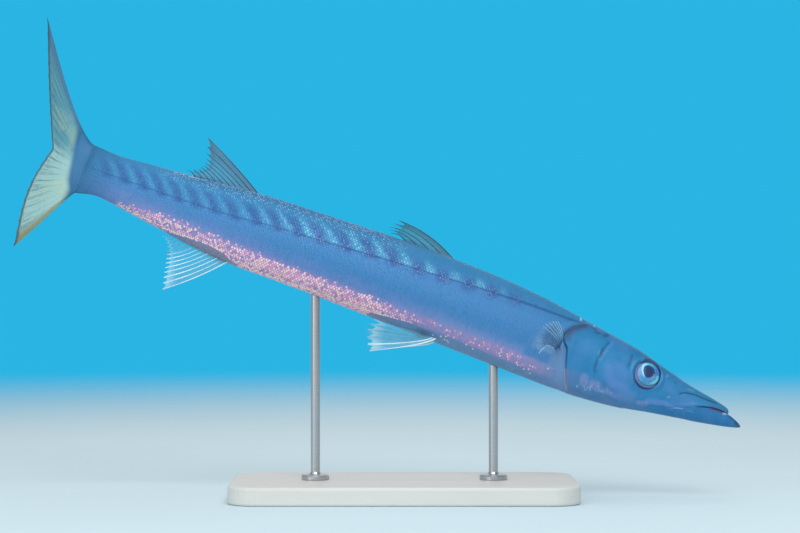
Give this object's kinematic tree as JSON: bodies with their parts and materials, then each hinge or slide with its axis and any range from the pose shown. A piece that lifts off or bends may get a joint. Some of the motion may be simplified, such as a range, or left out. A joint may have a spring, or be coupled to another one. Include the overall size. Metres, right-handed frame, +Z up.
{
  "type": "barracuda",
  "caption": "Still, life-size barracuda swimming nose down, with folded first dorsal fin, forked tail and spread paired fins, held over a flat base by short rods.",
  "frame": {"origin": "centre of the underside of the stand's base", "axes": "+Z up, +X along the fish towards its snout, which is carried lower than its tail; the fish's right side faces -Y"},
  "size_m": [0.6157, 0.1622, 0.4128],
  "materials": {
    "head_skin": "wet, bluish silver skin",
    "body_skin": "small silvery scales, dark bars above the side line, rosy belly edge",
    "dark_fin": "dusky clear membrane",
    "pale_fin": "clear membrane with white rays",
    "tail_fin": "yellow-green clear membrane with dark margins",
    "eye": "silver iris, dark pupil, clear cornea",
    "stand_base": "painted satin pale grey",
    "stand_rod": "brushed"
  },
  "bodies": {
    "root": {"head": "head_skin", "lower_jaw": "head_skin", "trunk_front": "body_skin", "trunk_rear": "body_skin", "tail_stem": "body_skin", "caudal_fin_upper": "tail_fin", "caudal_fin_lower": "tail_fin", "dorsal_fin_first": "dark_fin", "dorsal_fin_second": "dark_fin", "anal_fin": "pale_fin", "pectoral_fin_left": "pale_fin", "pectoral_fin_right": "pale_fin", "pelvic_fin_left": "pale_fin", "pelvic_fin_right": "pale_fin", "eye_left": "eye", "eye_right": "eye", "stand_base": "stand_base", "stand_rod_front": "stand_rod", "stand_rod_rear": "stand_rod"}
  },
  "joints": []
}
